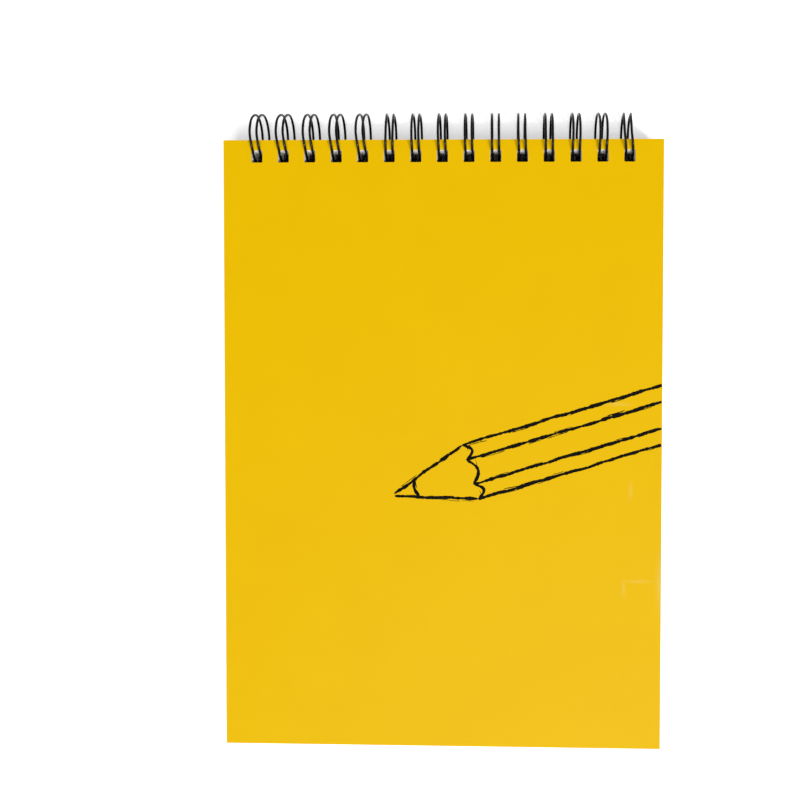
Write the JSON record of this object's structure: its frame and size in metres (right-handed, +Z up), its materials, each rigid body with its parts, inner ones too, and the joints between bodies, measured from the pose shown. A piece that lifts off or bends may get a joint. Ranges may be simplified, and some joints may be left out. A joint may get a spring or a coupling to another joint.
{
  "type": "wire-bound drawing pad",
  "caption": "Drawing pad with a yellow card cover, a thick block of white sheets and a greyboard back, top-bound by a black twin-loop wire, lying closed.",
  "frame": {"origin": "under the middle of the closed pad, on the surface it lies on", "axes": "+X along the bound edge to the right, +Y up the page towards the binding, +Z up from the table"},
  "size_m": [0.21, 0.3062, 0.0244],
  "materials": {
    "yellow_card": "slightly glossy coated card",
    "black_ink": "printed ink",
    "drawing_paper": "uncoated, guillotined edges",
    "greyboard": "matt grey board",
    "coated_wire": "glossy black nylon coating"
  },
  "bodies": {
    "block": {"paper_block": "drawing_paper", "binding_wire": "coated_wire"},
    "front": {"front_cover": "yellow_card", "cover_print": "black_ink"},
    "back": {"back_board": "greyboard"}
  },
  "joints": [
    {"name": "front_cover_hinge", "type": "hinge", "parent": "block", "child": "front", "pos_m": [0, 0.14085, 0.01222], "axis": [-1, 0, 0], "range_deg": [0, 180]},
    {"name": "back_board_hinge", "type": "hinge", "parent": "block", "child": "back", "pos_m": [0, 0.14085, 0.01222], "axis": [1, 0, 0], "range_deg": [0, 20]}
  ]
}
